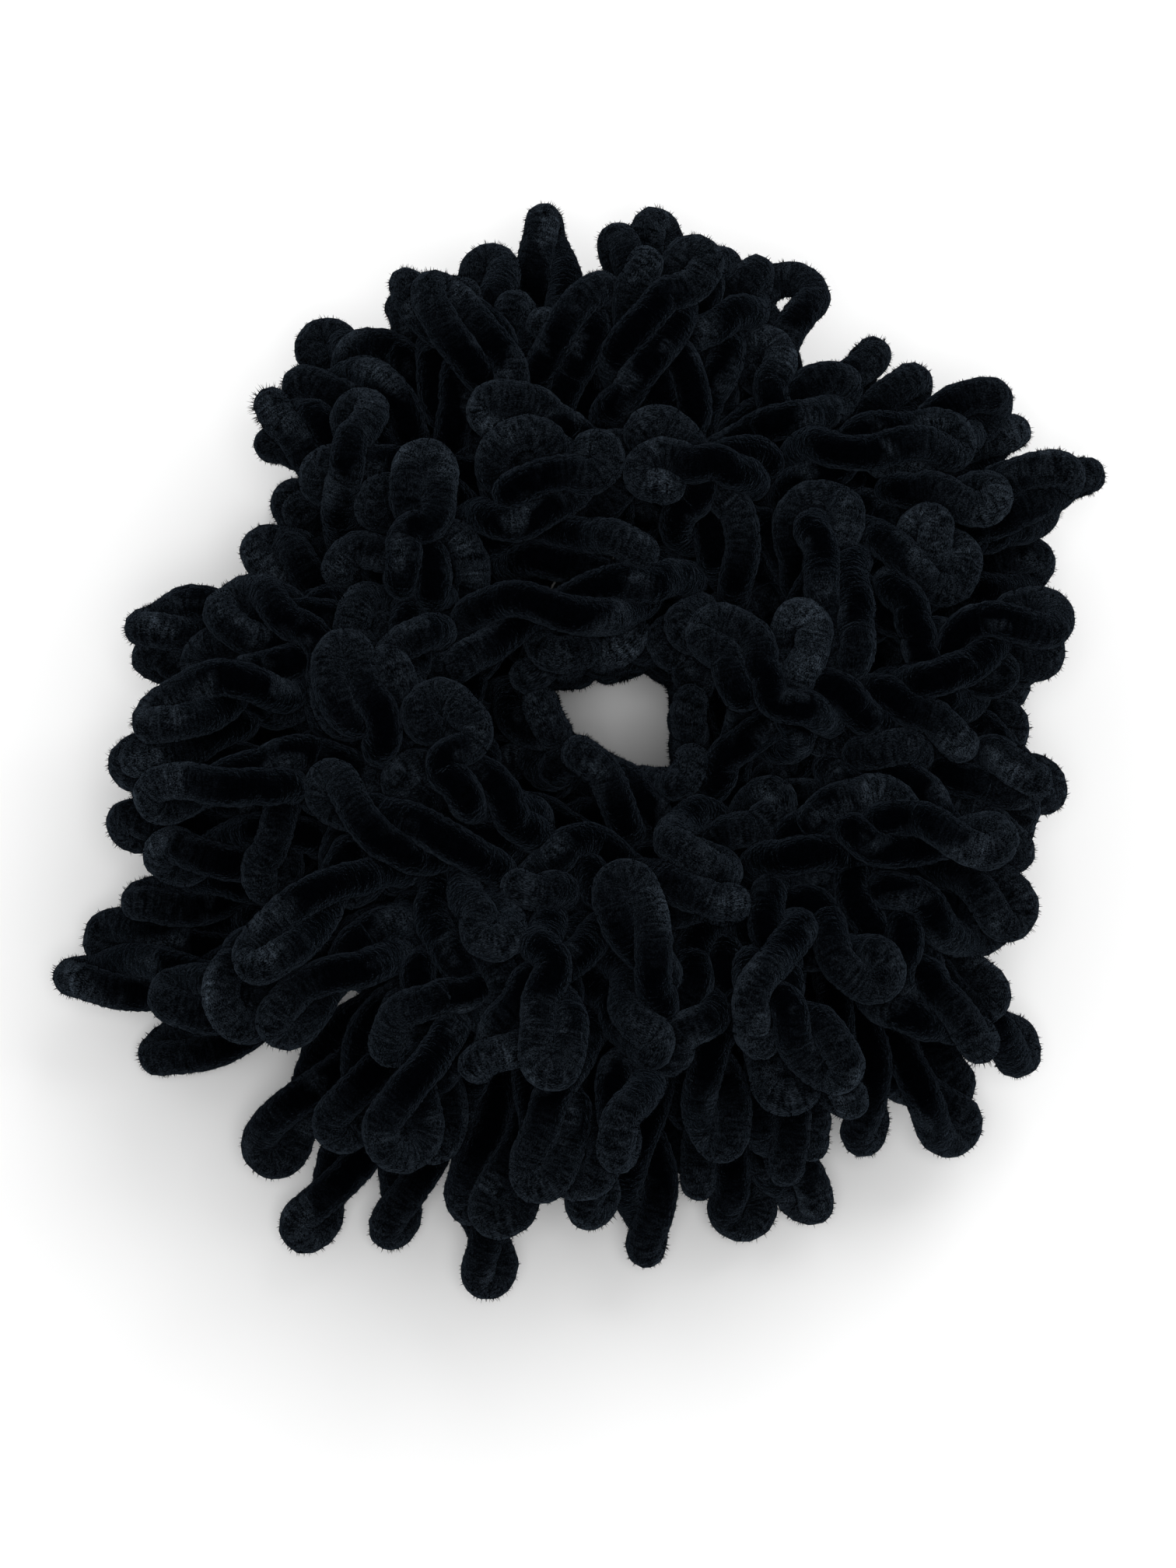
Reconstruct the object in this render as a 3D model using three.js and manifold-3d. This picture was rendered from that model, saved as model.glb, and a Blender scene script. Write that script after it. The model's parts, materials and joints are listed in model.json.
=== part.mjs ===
import * as THREE from "three";
import Module from "manifold-3d";

// Scrunchie of twisted velvet chenille loops, millimetres, +Z up, resting on z = 0.
// Ten bunches of loops are tied at equal steps along a round elastic.

// Ring of elastic
const bunchCount = 10;
const firstBunchAngle = 25;
const ringRadius = 29;
const ringHeight = 27;
const elasticRadius = 2;
const elasticSteps = 60;
const elasticSides = 8;

// Ferrule that closes the elastic, midway between the last bunch and the first
const ferruleLength = 8;
const ferruleOuter = 3.1;
const ferruleBore = 2.35;
const ferruleLip = 0.35;
const ferruleSides = 16;

// Thread bindings
const bindingLength = 7;
const bindingOuter = 4.2;
const bindingBore = 2.6;
const bindingLip = 0.5;
const bindingSides = 12;

// Loops: each is one cord doubled back and twisted, so its section is an oval that turns
const cordDiameter = 5.6;
const loopWide = 5.6;
const loopThin = 3.6;
const loopSides = 6;
const loopTwist = 110; // degrees from root to tip
const rootStart = 3.5; // from the middle of the elastic
const rootWide = 3.2;
const rootThin = 2.8;
const tipThin = 2;
const fullFrom = 0.4; // shares of the length between which the loop has its full section
const fullTo = 0.86;

// Pad of tied roots that a fan grows from
const padInner = 5;
const padOuter = 9;
const padLength = 12;
const padSteps = 3;
const padInset = 3; // degrees inside the fan's own bounds

// Room between neighbours, and the hair hole kept open
const gap = 0.7;
const fanEdge = 1.2; // degrees kept clear on each side of a fan
const slack = 0.45;
const holeRadius = 8.5;
const holeSides = 24;
const farRadius = 110;
const tallest = 70;

// Farthest that the outward loops of each bunch reach from the middle of the ring
const reaches = [75, 73, 80, 72, 72, 82, 84, 82, 76, 66];

// Fans of one bunch. from and to bound the fan, in degrees up from straight outwards in the
// bunch's own upright plane. Each loop is [degrees up, degrees sideways, length, sag], and the
// length of an outward loop is its share of the bunch's reach beyond the elastic.
const fans = {
  outer_loops: {
    from: -34,
    to: 34,
    loops: [
      [13, -22, 0.99, 5],
      [-14, -10, 0.96, 3],
      [12, 5, 1, 5],
      [-12, 20, 0.97, 2],
    ],
  },
  upper_loops: {
    from: 34,
    to: 122,
    loops: [
      [46, -18, 37, 4],
      [56, 15, 37, 3],
      [80, -8, 33, 1],
      [101, 12, 31, 1],
    ],
  },
  inner_loops: {
    from: 122,
    to: 215,
    loops: [
      [138, 8, 24, 0],
      [168, -6, 20, 0],
      [199, 6, 20, 0],
    ],
  },
  under_loops: {
    from: 215,
    to: 326,
    loops: [
      [236, -6, 30, 0],
      [274, 13, 31, 0],
      [310, -10, 36, -3],
    ],
  },
};

// No two bunches are quite alike: their loops are bent and turned by these steps, in degrees
const bendSteps = [0, 2.5, -2, -3, 1.5];
const turnStep = 70;

const wasm = await Module();
wasm.setup();

const radians = THREE.MathUtils.degToRad;

function solidFrom(points, faces) {
  return new wasm.Manifold(
    new wasm.Mesh({
      numProp: 3,
      vertProperties: new Float32Array(points.flat()),
      triVerts: new Uint32Array(faces.flat()),
    }),
  );
}

// A closed skin over rings of equally many points, each ring seen anticlockwise from its far end.
function skin(rings) {
  const sides = rings[0].length;
  const points = rings.flat();
  const faces = [];
  for (let i = 0; i + 1 < rings.length; i++) {
    for (let k = 0; k < sides; k++) {
      const a = i * sides + k;
      const b = i * sides + ((k + 1) % sides);
      faces.push([a, b, b + sides], [a, b + sides, a + sides]);
    }
  }
  const last = (rings.length - 1) * sides;
  for (let k = 1; k + 1 < sides; k++) {
    faces.push([0, k + 1, k], [last, last + k, last + k + 1]);
  }
  return solidFrom(points, faces);
}

// A flat convex outline in the bunch's upright plane, run sideways through it.
function sidewaysPrism(outline, halfWidth) {
  const near = outline.map(([out, up]) => [out, halfWidth, up]);
  const far = outline.map(([out, up]) => [out, -halfWidth, up]);
  return skin([near, far]);
}

// Outline of the fan between two angles and two radii about the elastic.
function fanOutline(from, to, inner, outer) {
  const rim = [];
  const throat = [];
  for (let i = 0; i <= padSteps; i++) {
    const angle = radians(from + ((to - from) * i) / padSteps);
    rim.push([ringRadius + outer * Math.cos(angle), ringHeight + outer * Math.sin(angle)]);
    throat.push([ringRadius + inner * Math.cos(angle), ringHeight + inner * Math.sin(angle)]);
  }
  return [...rim, ...throat.reverse()];
}

// One doubled and twisted loop in a bunch whose upright plane is x-z.
function loopSolid(up, sideways, length, sag, turn) {
  const u = radians(up);
  const s = radians(sideways);
  const direction = new THREE.Vector3(
    Math.cos(u) * Math.cos(s),
    Math.sin(s),
    Math.sin(u) * Math.cos(s),
  );
  const across = new THREE.Vector3(0, 1, 0).cross(direction).normalize();
  const beside = new THREE.Vector3().crossVectors(direction, across);
  const root = new THREE.Vector3(ringRadius, 0, ringHeight).addScaledVector(direction, rootStart);
  const stations = [
    [0, rootWide, rootThin],
    [fullFrom, loopWide, loopThin],
    [fullTo, loopWide, loopThin],
    [1, cordDiameter / 2, tipThin],
  ];
  const rings = stations.map(([along, wide, thin]) => {
    const centre = root.clone().addScaledVector(direction, (length - rootStart) * along);
    centre.z -= sag * along * along;
    const ring = [];
    for (let k = 0; k < loopSides; k++) {
      const angle = (2 * Math.PI * k) / loopSides;
      const twist = radians(turn + loopTwist * along);
      const a = wide * Math.cos(angle);
      const b = thin * Math.sin(angle);
      const x = a * Math.cos(twist) - b * Math.sin(twist);
      const y = a * Math.sin(twist) + b * Math.cos(twist);
      ring.push(centre.clone().addScaledVector(across, x).addScaledVector(beside, y).toArray());
    }
    return ring;
  });
  return skin(rings);
}

// Room that one bunch may fill: a slice of the ring above the table, less the hair hole.
function sliceSolid() {
  const half = radians(180 / bunchCount);
  const apex = gap / 2 / Math.sin(half);
  const outline = [
    [apex, 0],
    [apex + farRadius * Math.cos(half), -farRadius * Math.sin(half)],
    [apex + farRadius * Math.cos(half), farRadius * Math.sin(half)],
  ];
  const slice = skin([
    outline.map(([x, y]) => [x, y, 0]),
    outline.map(([x, y]) => [x, y, tallest]),
  ]);
  const hole = [];
  for (let k = 0; k < holeSides; k++) {
    const angle = (2 * Math.PI * k) / holeSides;
    hole.push([holeRadius * Math.cos(angle), holeRadius * Math.sin(angle)]);
  }
  return slice.subtract(
    skin([hole.map(([x, y]) => [x, y, -1]), hole.map(([x, y]) => [x, y, tallest + 1])]),
  );
}

function fanSolid(fan, bunch, slice) {
  let solid = sidewaysPrism(
    fanOutline(fan.from + padInset, fan.to - padInset, padInner, padOuter),
    padLength / 2,
  );
  fan.loops.forEach(([up, sideways, length, sag], k) => {
    const bend = bendSteps[(bunch + 2 * k) % bendSteps.length];
    const full = length > 1 ? length : length * (reaches[bunch] - ringRadius);
    const turn = turnStep * (bunch + k / 2);
    solid = solid.add(loopSolid(up + bend, sideways + bend, full, sag, turn));
  });
  const room = sidewaysPrism(
    fanOutline(fan.from + fanEdge, fan.to - fanEdge, padInner, farRadius),
    farRadius,
  );
  return largestPiece(largestPiece(solid.intersect(room).intersect(slice)).simplify(slack));
}

// Packed loops close off small pockets between them, and the trimming leaves crumbs; neither is kept.
function largestPiece(solid) {
  return solid.decompose().sort((a, b) => b.volume() - a.volume())[0];
}

function meshOf(name, geometry, material, turn) {
  const mesh = new THREE.Mesh(geometry, material);
  mesh.name = name;
  mesh.rotation.z = radians(turn);
  return mesh;
}

function geometryOf(solid) {
  const made = solid.getMesh();
  const geometry = new THREE.BufferGeometry();
  geometry.setAttribute("position", new THREE.BufferAttribute(made.vertProperties.slice(), 3));
  geometry.setIndex(new THREE.BufferAttribute(made.triVerts.slice(), 1));
  geometry.computeVertexNormals();
  return geometry;
}

// A short tube round the elastic, its axis along the ring, with softened ends.
function collarGeometry(length, outer, bore, lip, sides) {
  const half = length / 2;
  const profile = [
    [bore, -half],
    [outer - lip, -half],
    [outer, -half + lip],
    [outer, half - lip],
    [outer - lip, half],
    [bore, half],
    [bore, -half],
  ].map(([x, y]) => new THREE.Vector2(x, y));
  return new THREE.LatheGeometry(profile, sides).translate(ringRadius, 0, ringHeight);
}

function elasticGeometry() {
  const geometry = new THREE.TorusGeometry(ringRadius, elasticRadius, elasticSides, elasticSteps);
  return geometry.translate(0, 0, ringHeight);
}

const chenille = (name) =>
  new THREE.MeshStandardMaterial({ name, color: 0x14181b, roughness: 0.95, metalness: 0 });

function twoDigits(n) {
  return String(n).padStart(2, "0");
}

function bunchGroup(index, slice) {
  const group = new THREE.Group();
  const label = twoDigits(index + 1);
  group.name = "bunch_" + label;
  for (const [kind, fan] of Object.entries(fans)) {
    const solid = fanSolid(fan, index, slice);
    group.add(meshOf(kind + "_" + label, geometryOf(solid), chenille(kind), 0));
  }
  const thread = new THREE.MeshStandardMaterial({ color: 0x0c0d0e, roughness: 0.7 });
  const binding = collarGeometry(
    bindingLength,
    bindingOuter,
    bindingBore,
    bindingLip,
    bindingSides,
  );
  group.add(meshOf("binding_" + label, binding, thread, 0));
  group.rotation.z = radians(firstBunchAngle + (360 / bunchCount) * index);
  return group;
}

const scrunchie = new THREE.Group();
scrunchie.name = "scrunchie";
const slice = sliceSolid();
for (let i = 0; i < bunchCount; i++) scrunchie.add(bunchGroup(i, slice));

const elasticMaterial = new THREE.MeshStandardMaterial({ color: 0x101112, roughness: 0.8 });
scrunchie.add(meshOf("elastic_ring", elasticGeometry(), elasticMaterial, 0));

const ferruleMaterial = new THREE.MeshStandardMaterial({
  color: 0x8d9093,
  roughness: 0.35,
  metalness: 0.9,
});
const ferruleAngle = firstBunchAngle + (360 / bunchCount) * (bunchCount - 0.5);
const ferrule = collarGeometry(
  ferruleLength,
  ferruleOuter,
  ferruleBore,
  ferruleLip,
  ferruleSides,
);
scrunchie.add(meshOf("elastic_ferrule", ferrule, ferruleMaterial, ferruleAngle));

// The box round everything is centred on the z axis
const middle = new THREE.Box3().setFromObject(scrunchie).getCenter(new THREE.Vector3());
scrunchie.children.forEach((child) => child.position.sub(new THREE.Vector3(middle.x, middle.y, 0)));

export default scrunchie;
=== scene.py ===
import json
import math

import bpy
import numpy as np
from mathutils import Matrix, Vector

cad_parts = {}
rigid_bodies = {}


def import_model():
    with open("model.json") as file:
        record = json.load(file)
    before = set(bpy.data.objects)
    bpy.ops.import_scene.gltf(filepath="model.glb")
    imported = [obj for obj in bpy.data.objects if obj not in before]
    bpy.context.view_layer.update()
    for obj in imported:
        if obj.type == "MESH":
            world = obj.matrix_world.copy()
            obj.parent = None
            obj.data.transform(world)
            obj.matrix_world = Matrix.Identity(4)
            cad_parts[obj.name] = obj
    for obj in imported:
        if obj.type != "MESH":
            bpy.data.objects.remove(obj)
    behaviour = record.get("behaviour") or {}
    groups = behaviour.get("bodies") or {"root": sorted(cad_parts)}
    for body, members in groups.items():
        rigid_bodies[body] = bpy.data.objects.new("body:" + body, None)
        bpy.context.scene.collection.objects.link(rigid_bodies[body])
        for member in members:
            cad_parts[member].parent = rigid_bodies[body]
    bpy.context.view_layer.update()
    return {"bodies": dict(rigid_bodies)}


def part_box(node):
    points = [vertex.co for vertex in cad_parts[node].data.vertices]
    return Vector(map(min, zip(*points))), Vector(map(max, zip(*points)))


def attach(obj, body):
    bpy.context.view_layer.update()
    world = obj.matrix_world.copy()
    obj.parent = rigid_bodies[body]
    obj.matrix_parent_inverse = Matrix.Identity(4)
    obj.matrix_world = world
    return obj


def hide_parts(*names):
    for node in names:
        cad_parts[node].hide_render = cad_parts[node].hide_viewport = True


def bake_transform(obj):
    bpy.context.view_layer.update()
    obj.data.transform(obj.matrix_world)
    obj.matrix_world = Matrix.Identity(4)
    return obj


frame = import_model()
mm = 0.001  # shapes are worked out in millimetres and stored in metres
rng = np.random.default_rng(20)

# ring of elastic, read from the bindings that sit on it
bunchNames = sorted(name for name in frame["bodies"] if name.startswith("bunch_"))
labels = [name[-2:] for name in bunchNames]


def boxMiddle(node):
    low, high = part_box(node)
    return np.array((low + high) / 2) / mm


bindings = np.array([boxMiddle("binding_" + label) for label in labels])
ringMiddle = bindings.mean(0)
ringRadius = np.linalg.norm((bindings - ringMiddle)[:, :2], axis=1).mean()
print("ring", ringMiddle.round(2), round(float(ringRadius), 2))

# ---- camera and view

camera = {
    "elevation": 72,  # degrees above the table
    "distance": 760,
    "viewHeight": 221.8,  # mm across the long side of the view, at the ring
    "lookRight": -3.5,  # mm from the middle of the hole to the middle of the view
    "lookUp": -8.7,
    "sensor": 36,
}


def makeCamera():
    data = bpy.data.cameras.new("camera")
    cam = bpy.data.objects.new("camera", data)
    bpy.context.collection.objects.link(cam)
    data.sensor_width = camera["sensor"]
    data.lens = camera["sensor"] * camera["distance"] / camera["viewHeight"]
    tilt = math.radians(camera["elevation"])
    target = Vector(ringMiddle) + Vector((camera["lookRight"], camera["lookUp"] / math.sin(tilt), 0))
    back = Vector((0, -math.cos(tilt), math.sin(tilt)))
    cam.location = (target + back * camera["distance"]) * mm
    cam.rotation_mode = "QUATERNION"
    cam.rotation_quaternion = (-back).to_track_quat("-Z", "Y")
    data.clip_start = 0.01
    data.clip_end = 10
    bpy.context.scene.camera = cam


makeCamera()

# ---- loops of chenille

cord = {
    "radius": 2.6,  # to the skin of the pile
    "touch": 0.9,  # share of the radius at which two cords push each other away
    "legTouch": 0.84,  # the same for the two legs of one loop, which are twisted tight
    "rootRadius": 0.95,
    "taperOver": 15,
    "step": 2.0,
}

# each loop: degrees up from straight outwards, degrees sideways, length, degrees it flops over
fans = {
    "outer_loops": [
        (18, -29, 1.00, 20),
        (-12, -19, 0.97, 5),
        (26, -8, 1.00, 30),
        (-18, 5, 0.95, -5),
        (12, 16, 1.00, 15),
        (-6, 28, 0.98, 5),
    ],
    "upper_loops": [
        (42, -26, 46, 40),
        (46, 2, 47, 45),
        (42, 27, 46, 40),
        (62, -14, 48, 65),
        (64, 17, 48, 65),
        (66, -44, 44, 45),
        (70, 42, 44, 45),
        (90, -6, 44, 55),
        (98, 38, 42, 35),
    ],
    "inner_loops": [
        (124, -46, 42, 10),
        (132, 52, 42, 5),
        (152, 6, 31, -30),
        (188, -20, 26, 0),
    ],
    "under_loops": [
        (226, -8, 24, 0),
        (258, 14, 27, 0),
        (290, -14, 32, -30),
        (318, 8, 42, -35),
    ],
}
loopJitter = {
    "up": 7,
    "sideways": 6,
    "length": 0.07,
    "curl": 26,
    "turns": (0.7, 1.3),
    "tip": (1.9, 2.3),  # mm, inner radius of the turned end
    "openTip": (3, 4.2),  # the same for the few that stand open
    "openTips": 0.14,
}

# how far the tips reach from the middle of the hole, by the way they point (degrees from +X), and
# how far the loops round the hole keep from its middle
tipReach = {
    0: 63, 14: 66, 28: 78, 40: 74, 52: 71, 66: 71, 79: 74, 87: 80, 98: 81, 108: 73, 114: 69, 130: 72,
    144: 66, 150: 60, 154: 56, 166: 60, 172: 70, 190: 73, 204: 84, 218: 82, 234: 83, 248: 78, 260: 82,
    276: 75, 292: 73, 306: 74, 318: 76, 330: 66, 345: 62, 360: 63,
}  # fmt: skip
holeReach = {
    0: 7.5, 40: 10.5, 65: 9, 95: 7, 120: 7, 145: 10.5, 165: 8, 190: 6, 230: 4.5, 262: 5, 290: 7.5,
    318: 11, 340: 9, 360: 7.5,
}  # fmt: skip
reachSpare = 6  # mm from a loop's middle line to its tip, and what the loops gain by pushing each other


def reachAt(degrees):
    return float(np.interp(degrees % 360, list(tipReach), list(tipReach.values())))


def unit(v):
    return v / np.linalg.norm(v)


def turned(v, axis, angle):
    c, s = math.cos(angle), math.sin(angle)
    return v * c + np.cross(axis, v) * s + axis * (axis @ v) * (1 - c)


def spineOf(start, direction, length, flop, curl, curlAxis):
    # the middle line of a twisted loop, a step at a time; flop bends it down, curl sideways
    count = max(8, int(round(length)))
    step = length / count
    points = [start]
    down = np.array([0, 0, -1.0])
    for k in range(count):
        share = (k + 0.5) / count
        ease = 2 * share
        axis = np.cross(direction, down)
        if np.linalg.norm(axis) > 0.05 and flop:
            direction = turned(direction, unit(axis), math.radians(flop) * ease / count)
        side = curlAxis - direction * (direction @ curlAxis)
        if np.linalg.norm(side) > 1e-3 and curl:
            direction = turned(direction, unit(side), math.radians(curl) * ease / count)
        direction = unit(direction)
        points.append(points[-1] + direction * step)
    return np.array(points)


def smoothLine(points, per=4):
    # a curve through the points, with this many steps from each to the next
    padded = np.concatenate([[2 * points[0] - points[1]], points, [2 * points[-1] - points[-2]]])
    t = np.arange(per) / per
    p0, p1, p2, p3 = (padded[k : len(padded) - 3 + k] for k in range(4))
    t = t[None, :, None]
    line = 2 * p1[:, None] + (p2 - p0)[:, None] * t
    line = line + (2 * p0 - 5 * p1 + 4 * p2 - p3)[:, None] * t**2
    line = 0.5 * (line + (3 * p1 - p0 - 3 * p2 + p3)[:, None] * t**3)
    return np.concatenate([line.reshape(-1, 3), points[-1:]])


def carriedFrames(tangents, first):
    normals = [unit(first - tangents[0] * (tangents[0] @ first))]
    for t in tangents[1:]:
        n = normals[-1] - t * (t @ normals[-1])
        normals.append(unit(n))
    normals = np.array(normals)
    return normals, np.cross(tangents, normals)


def hairpin(spine, tangents, turns, phase, tipRadius):
    # the cord runs out on one side of the spine and back on the other, twisting round it
    normals, sides = carriedFrames(tangents, np.array([0.3, 0.2, 1.0]))
    share = np.linspace(0, 1, len(spine))
    half = np.interp(share, [0, 0.3, 0.85, 1], [1.0, 2.2, 2.25, tipRadius])
    angle = phase + 2 * math.pi * turns * share
    offset = (normals.T * np.cos(angle) + sides.T * np.sin(angle)).T * half[:, None]
    out = spine + offset
    back = spine - offset
    arc = np.linspace(0, math.pi, 7)[1:-1]
    tip = spine[-1] + offset[-1] * np.cos(arc)[:, None] + tangents[-1] * (tipRadius * np.sin(arc))[:, None]
    return np.concatenate([out, tip, back[::-1]])


def evenly(points, step, count=None):
    lengths = np.concatenate([[0], np.cumsum(np.linalg.norm(np.diff(points, axis=0), axis=1))])
    count = count or int(round(lengths[-1] / step)) + 1
    at = np.linspace(0, lengths[-1], count)
    return np.stack([np.interp(at, lengths, points[:, k]) for k in range(3)], axis=1), lengths[-1]


# loops that stand out, listed one by one: bunch, points it passes after its root (x and y from the
# ring's middle, height above the table), twists, radius of its turned tip
chosenLoops = [
    (3, [(-13, 45, 40), (-14, 61, 40)], 1.2, 2.1),
    (3, [(-6, 45, 46), (-1, 60, 44)], 1.3, 2.1),
    (3, [(-16, 50, 36), (-18, 71, 34)], 1.1, 2.1),
    (3, [(-8, 55, 32), (-10, 78, 32)], 1.2, 2.4),
    (3, [(-12, 30, 50), (-11, 37, 54)], 0.5, 4.6),
    (3, [(-1, 26, 46), (2, 36, 51)], 0.8, 2.2),
    (2, [(8, 60, 30), (6, 78, 32)], 1.2, 2.1),
    (2, [(9, 55, 38), (-1, 73, 34)], 1.0, 2.2),
    (2, [(14, 52, 44), (16, 66, 40)], 1.3, 2.4),
    (2, [(24, 52, 36), (25, 68, 34)], 1.0, 4.2),
    (2, [(20, 30, 46), (10, 28, 56), (1, 26, 56)], 1.2, 2.2),
    (2, [(8, 16, 44), (-4, 9, 51), (-15, 8, 50), (-26, 0, 46)], 1.4, 3.0),
    (2, [(32, 46, 32), (39, 57, 32)], 1.0, 2.1),
    (1, [(36, 38, 34), (45, 52, 32)], 1.0, 2.4),
    (1, [(46, 36, 26), (60, 47, 24)], 1.1, 2.6),
    (1, [(50, 30, 32), (71, 38, 28)], 1.3, 2.1),
    (1, [(48, 25, 36), (64, 34, 32)], 1.2, 2.4),
    (1, [(48, 20, 26), (64, 27, 22)], 1.1, 2.2),
    (1, [(30, 20, 46), (31, 10, 54), (30, -4, 52)], 0.5, 3.2),
    (1, [(36, 16, 46), (43, 4, 50), (50, -2, 46), (54, 5, 44)], 1.2, 3.2),
    (1, [(36, 21, 46), (50, 12, 50)], 0.9, 2.4),
    (1, [(30, 32, 44), (46, 28, 46)], 0.9, 2.8),
    (4, [(-12, 20, 46), (6, 15, 51)], 0.5, 3.8),
    (4, [(-28, 20, 42), (-41, 16, 42)], 0.5, 4.2),
    (4, [(-28, 27, 44), (-37, 25, 46)], 0.9, 2.3),
    (4, [(-32, 36, 40), (-51, 39, 36)], 1.2, 2.3),
    (4, [(-30, 42, 42), (-47, 47, 38)], 1.3, 2.4),
    (4, [(-20, 42, 42), (-30, 51, 38), (-40, 50, 36)], 1.0, 2.6),
    (4, [(-32, 42, 28), (-44, 62, 26)], 1.2, 2.2),
    (3, [(-22, 50, 28), (-32, 66, 28)], 1.1, 2.0),
    (5, [(-40, 12, 38), (-53, 10, 40)], 0.6, 4.2),
    (5, [(-50, 8, 26), (-69, 11, 25)], 1.3, 2.1),
    (5, [(-36, -2, 46), (-42, -6, 50)], 0.5, 4.4),
    (5, [(-48, -4, 38), (-66, -9, 34)], 1.2, 2.4),
    (6, [(-50, -14, 34), (-71, -17, 30)], 1.2, 2.4),
    (6, [(-45, -22, 40), (-65, -23, 36)], 1.2, 2.6),
    (6, [(-50, -34, 22), (-79, -34, 15)], 1.5, 2.8),
    (6, [(-46, -36, 14), (-68, -44, 6)], 1.3, 2.2),
    (6, [(-48, -22, 24), (-70, -24, 18)], 1.2, 2.3),
    (6, [(-46, -27, 18), (-76, -28, 12)], 1.3, 2.2),
    (6, [(-45, -40, 30), (-65, -40, 28)], 1.3, 2.4),
    (7, [(-16, -26, 46), (-28, -25, 52), (-42, -15, 50)], 1.3, 2.4),
    (7, [(-18, -62, 20), (-17, -80, 10)], 1.4, 2.1),
    (7, [(-30, -45, 36), (-39, -63, 28)], 1.3, 2.2),
    (7, [(-22, -48, 42), (-26, -66, 34)], 1.3, 2.4),
    (7, [(-18, -50, 36), (-19, -73, 25)], 1.5, 2.2),
    (7, [(-40, -48, 20), (-50, -62, 12)], 1.2, 2.4),
    (7, [(-32, -52, 18), (-45, -72, 8)], 1.2, 2.6),
    (7, [(-26, -54, 18), (-32, -72, 8)], 1.3, 2.3),
    (8, [(4, -58, 22), (5, -75, 10)], 1.4, 2.1),
    (8, [(5, -40, 40), (7, -47, 48), (3, -38, 56), (0, -29, 56)], 1.0, 2.1),
    (8, [(-2, -52, 40), (-3, -74, 28)], 1.4, 2.2),
    (8, [(12, -48, 42), (15, -66, 34)], 1.3, 2.4),
    (8, [(14, -54, 18), (20, -70, 8)], 1.1, 2.8),
    (9, [(22, -56, 18), (29, -68, 8)], 1.2, 2.4),
    (9, [(40, -42, 20), (49, -53, 12)], 1.2, 2.4),
    (8, [(4, -18, 42), (-6, -8, 45)], 0.5, 3.4),
    (9, [(10, -24, 46), (15, -31, 53)], 0.5, 4.8),
    (9, [(14, -14, 42), (24, -4, 50), (38, -6, 50), (50, -11, 46)], 1.5, 2.6),
    (9, [(36, -32, 44), (55, -34, 38)], 1.2, 2.4),
    (9, [(46, -40, 26), (60, -46, 14)], 1.2, 2.1),
    (9, [(38, -48, 24), (51, -58, 12)], 1.2, 2.1),
    (9, [(22, -50, 30), (24, -65, 20)], 1.2, 2.6),
    (9, [(32, -44, 30), (36, -60, 16)], 1.2, 2.4),
    (10, [(36, -14, 46), (58, -25, 40)], 1.3, 2.3),
    (10, [(48, -8, 36), (64, -12, 30)], 1.2, 2.2),
]


rootOut = 4.6  # mm from the middle of the elastic to where a loop starts
outwardLength = 45


def looseLoops(bunch, middle, out, along):
    # the loops of a bunch that nobody placed by hand
    made = []
    for kind, loops in fans.items():
        for up, sideways, length, flop in loops:
            up += rng.uniform(-1, 1) * loopJitter["up"]
            sideways += rng.uniform(-1, 1) * loopJitter["sideways"]
            share = length if length < 2 else 0
            length = outwardLength if share else length
            length *= 1 + rng.uniform(-1, 1) * loopJitter["length"] * (not share)
            curl = rng.uniform(-1, 1) * loopJitter["curl"]
            curlAxis = unit(rng.normal(size=3))
            turns = rng.uniform(*loopJitter["turns"])
            isOpen = rng.random() < loopJitter["openTips"]
            tipRadius = rng.uniform(*loopJitter["openTip" if isOpen else "tip"])
            u, s = math.radians(up), math.radians(sideways)
            direction = out * math.cos(u) * math.cos(s) + along * math.sin(s)
            direction = direction + np.array([0, 0, 1]) * math.sin(u) * math.cos(s)
            start = middle + direction * rootOut + along * rng.uniform(-1.6, 1.6)
            spine = spineOf(start, direction, length - rootOut, flop, curl, curlAxis)
            end = spine[-1] - ringMiddle
            facing = math.degrees(math.atan2(end[1], end[0]))
            spare = reachAt(facing) - reachSpare - math.hypot(end[0], end[1])
            if share:
                spare -= outwardLength * (1 - share + rng.uniform(0, loopJitter["length"]))
            if share or spare < 0:
                spine = spineOf(start, direction, length + spare - rootOut, flop, curl, curlAxis)
            turns *= length / 42
            made.append({"kind": kind, "spine": spine, "turns": turns, "tip": tipRadius, "hold": 1})
    return made


def chosenSpine(middle, along, passes, tipRadius):
    points = [middle] + [np.array([ringMiddle[0] + x, ringMiddle[1] + y, z]) for x, y, z in passes]
    direction = unit(points[1] - points[0])
    points[0] = middle + direction * rootOut + along * rng.uniform(-1.6, 1.6)
    line = evenly(smoothLine(np.array(points), 12), 1.0)[0]
    return line[: len(line) - round(tipRadius + cord["radius"])]


def kindOf(spine, middle, out):
    # the fan that a loop belongs to goes by the way it sets out
    way = spine[len(spine) // 3] - middle
    degrees = math.degrees(math.atan2(way[2], way @ out)) % 360
    if 36 <= degrees < 120:
        return "upper_loops"
    if 120 <= degrees < 215:
        return "inner_loops"
    return "under_loops" if 215 <= degrees < 326 else "outer_loops"


chosenHold = 10  # how much harder than a scattered loop these keep to their place


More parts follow.
